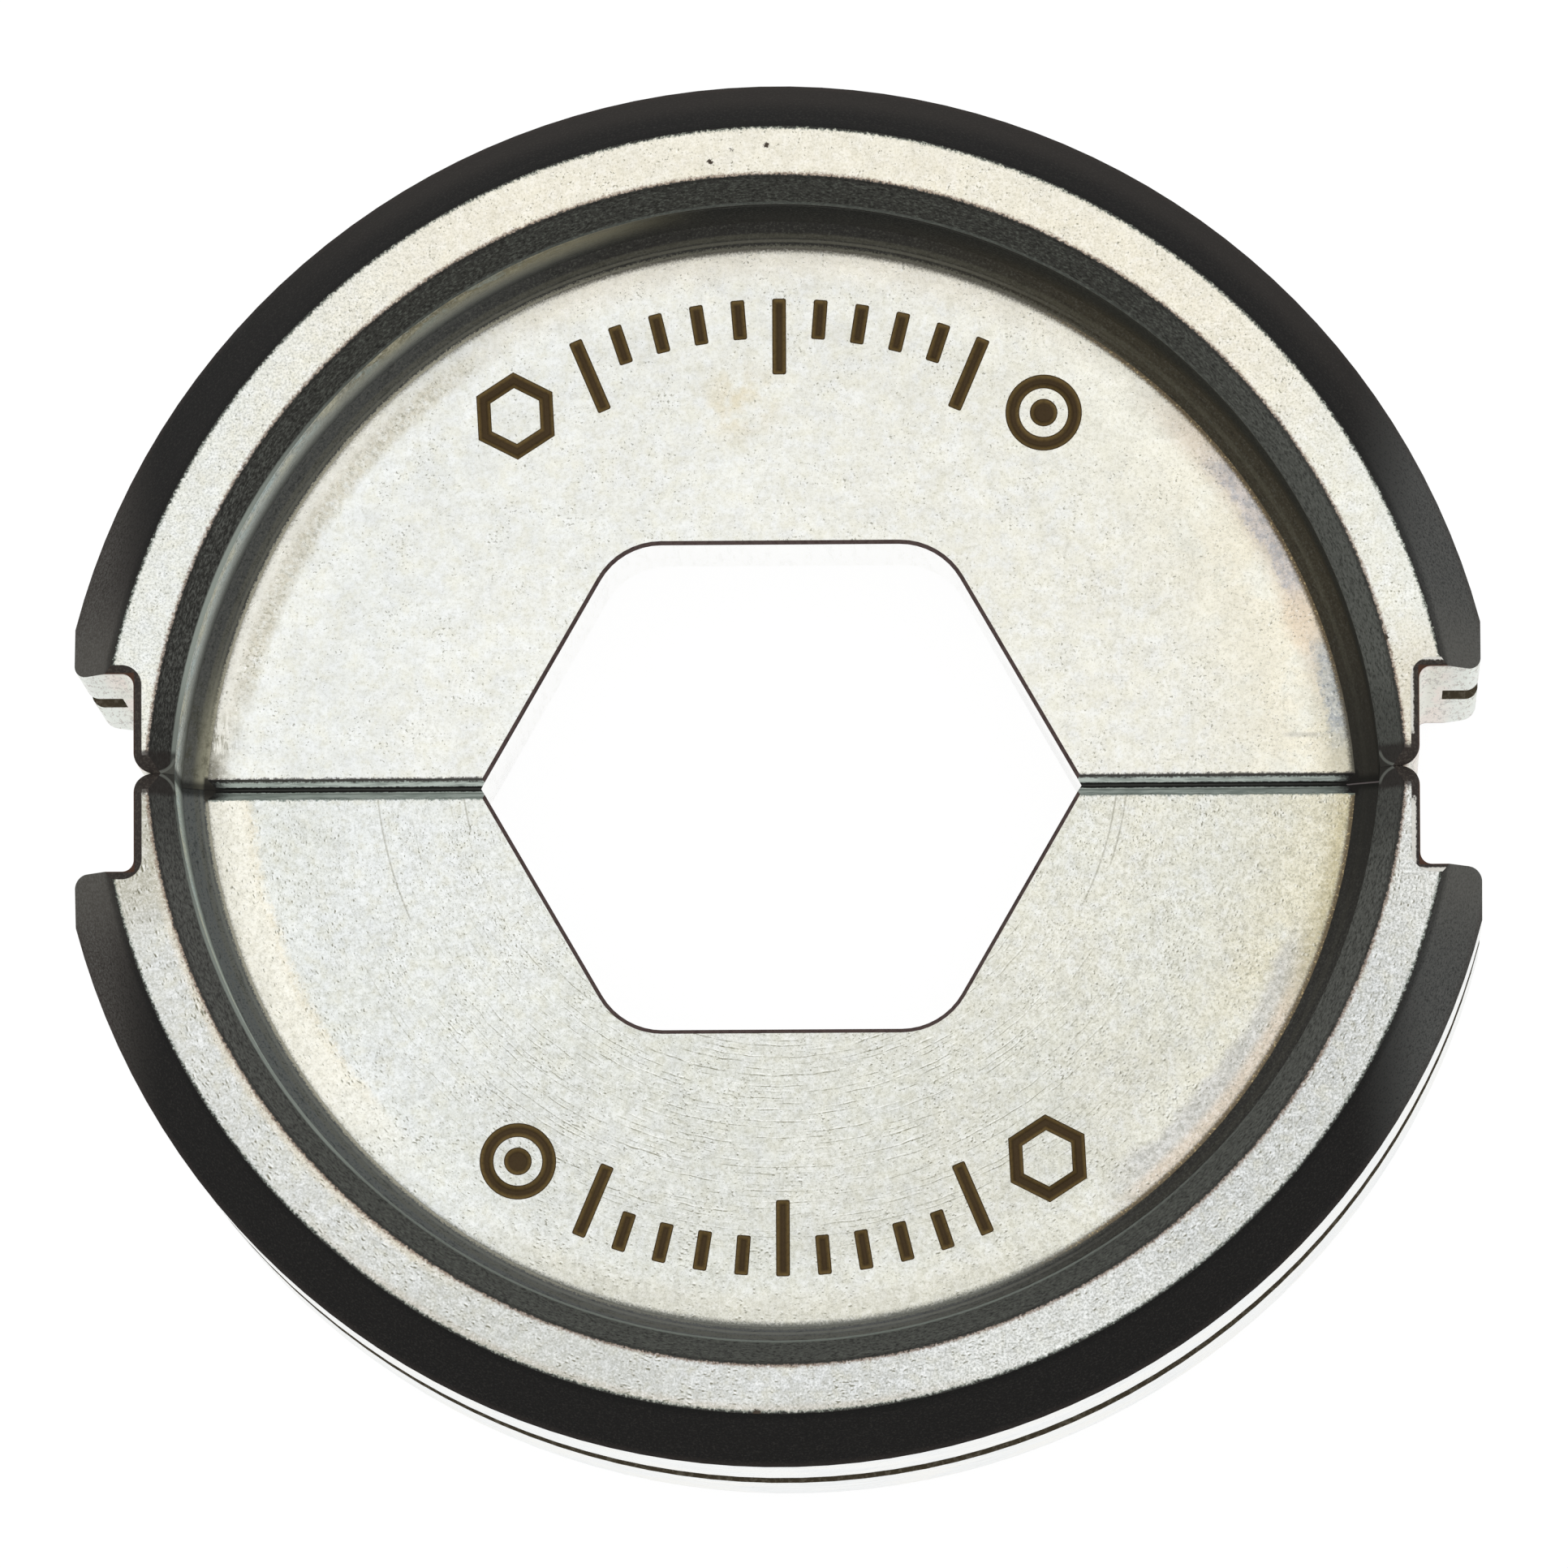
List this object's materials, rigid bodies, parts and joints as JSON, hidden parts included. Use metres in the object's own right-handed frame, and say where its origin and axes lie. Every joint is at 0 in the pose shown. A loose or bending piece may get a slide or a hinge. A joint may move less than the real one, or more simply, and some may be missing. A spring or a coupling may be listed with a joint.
{
  "type": "crimping die",
  "caption": "Split round crimping die of plated steel, with a recessed web and a hexagonal opening where its halves meet.",
  "frame": {"origin": "bottom centre of the bounding box: on the die axis, in the plane of the lower rim faces that the die rests on", "axes": "+Z along the die axis, +X along the parting line towards a side flat, +Y towards the upper half"},
  "size_m": [0.042, 0.0414, 0.02],
  "materials": {
    "plated_steel": "bright plating over turned steel, pale with fine dark specks and faint turning marks"
  },
  "bodies": {
    "root": {"upper_die_half": "plated_steel", "lower_die_half": "plated_steel"}
  },
  "joints": []
}
